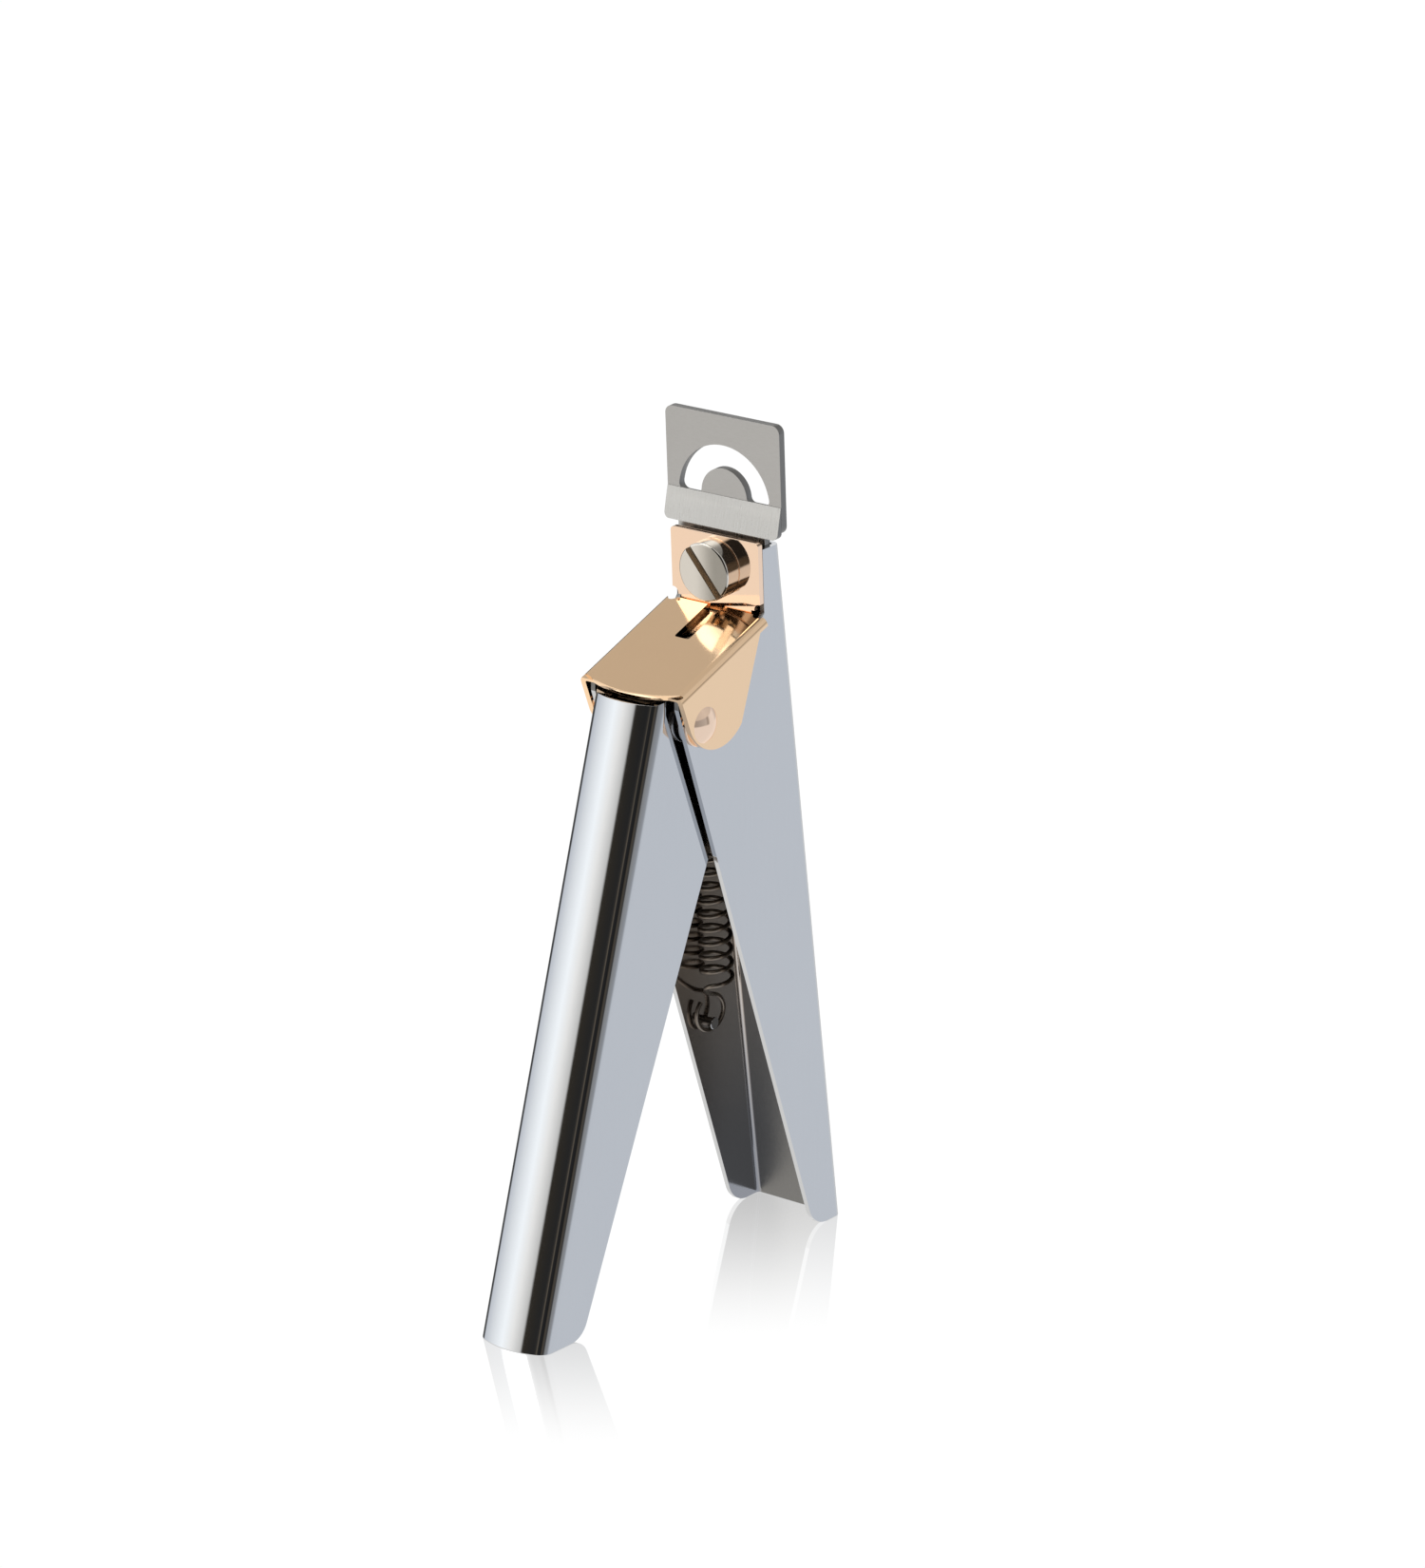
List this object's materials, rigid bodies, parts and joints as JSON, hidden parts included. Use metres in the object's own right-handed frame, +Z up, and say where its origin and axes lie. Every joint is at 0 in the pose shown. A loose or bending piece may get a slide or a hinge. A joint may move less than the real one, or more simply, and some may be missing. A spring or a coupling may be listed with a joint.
{
  "type": "acrylic nail tip cutter",
  "caption": "One-hand nail tip cutter: two sprung chrome channel handles, gilt guide head, half-moon plate and a bevelled blade that lifts across its opening.",
  "frame": {"origin": "on the floor straight below the pivot axis, on the symmetry plane", "axes": "+X to the right across the handles (parallel to the pivot axis), -Y to the front (screw and shelf side), +Z up"},
  "size_m": [0.022, 0.0752, 0.1368],
  "materials": {
    "handle_chrome": "mirror-bright plated sheet steel",
    "gilt": "bright rose-gold plated sheet",
    "blade_steel": "ground bevel with a fine vertical grain",
    "plate_steel": "satin stainless sheet",
    "screw_chrome": "bright turned head",
    "plain_steel": "plain turned steel",
    "spring_wire": "oil-blackened spring wire",
    "post_steel": "blackened turned steel"
  },
  "bodies": {
    "handle_frame": {"rear_handle": "handle_chrome", "guide_housing": "gilt", "half_moon_plate": "plate_steel", "plate_shims": "plate_steel", "plate_rivets": "plate_steel", "pivot_rivet": "gilt", "outer_washers": "gilt", "inner_washers": "plain_steel", "spring_post": "post_steel", "return_spring": "spring_wire"},
    "squeeze_lever": {"front_handle": "handle_chrome", "pivot_spacer": "plain_steel", "drive_pin": "plain_steel"},
    "blade_slide": {"blade_carrier": "gilt", "bevel_blade": "blade_steel"},
    "screw": {"clamp_screw": "screw_chrome"}
  },
  "joints": [
    {"name": "squeeze_hinge", "type": "hinge", "parent": "handle_frame", "child": "squeeze_lever", "pos_m": [0, 0, 0.0932], "axis": [1, 0, 0], "range_deg": [0, 26], "stiffness_Nm_per_rad": 0.2, "springref_deg": -22.92, "deforming": ["return_spring"]},
    {"name": "blade_lift", "type": "slide", "parent": "handle_frame", "child": "blade_slide", "axis": [0, -0.0513, 0.9987], "range_m": [0, 0.0086]},
    {"name": "clamp_screw_turn", "type": "hinge", "parent": "blade_slide", "child": "screw", "pos_m": [0, 0.01521, 0.11283], "axis": [0, -0.9987, -0.0513], "range_deg": [0, 180]}
  ],
  "couplings": [
    {"joint": "blade_lift", "follows": "squeeze_hinge", "m_per_rad": 0.018837}
  ]
}
